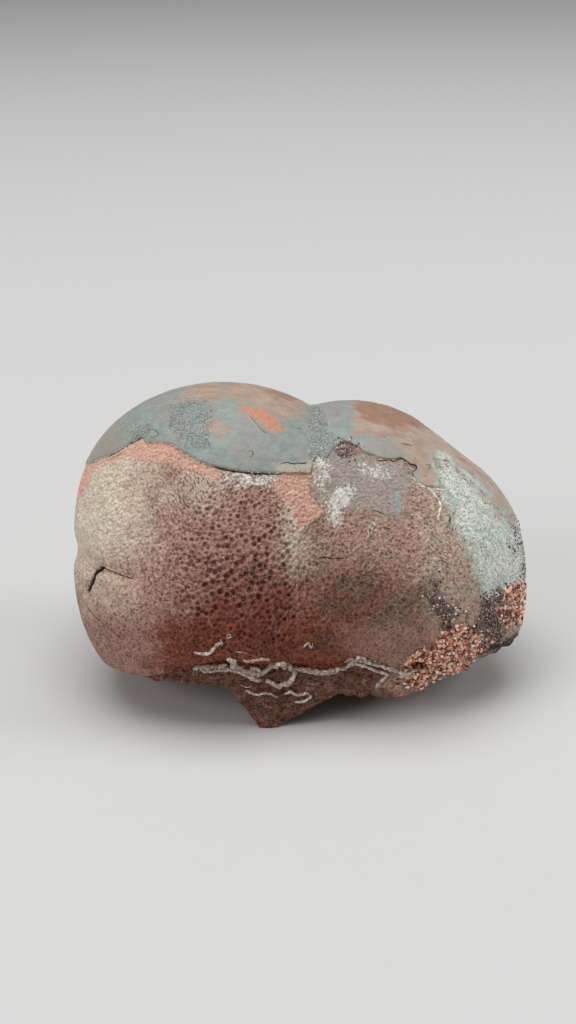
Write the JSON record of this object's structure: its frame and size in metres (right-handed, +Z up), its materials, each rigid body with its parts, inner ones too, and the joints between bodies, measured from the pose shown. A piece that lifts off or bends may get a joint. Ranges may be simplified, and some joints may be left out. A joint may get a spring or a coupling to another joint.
{
  "type": "botryoidal hematite specimen",
  "caption": "Loose mineral specimen: a lobed, kidney-shaped stone with a smooth crown, a finely pitted face and a broken base it rests on.",
  "frame": {"origin": "middle of the stone's box, on the table it rests on", "axes": "+X along the row of lobes, towards the smaller one; -Y is the side with the pitted face; +Z up"},
  "size_m": [0.0718, 0.046, 0.0461],
  "materials": {
    "hematite": "semi-metallic grey-blue skin over matt maroon pitted crust, dark splintery breaks"
  },
  "bodies": {
    "root": {"hematite_stone": "hematite"}
  },
  "joints": []
}
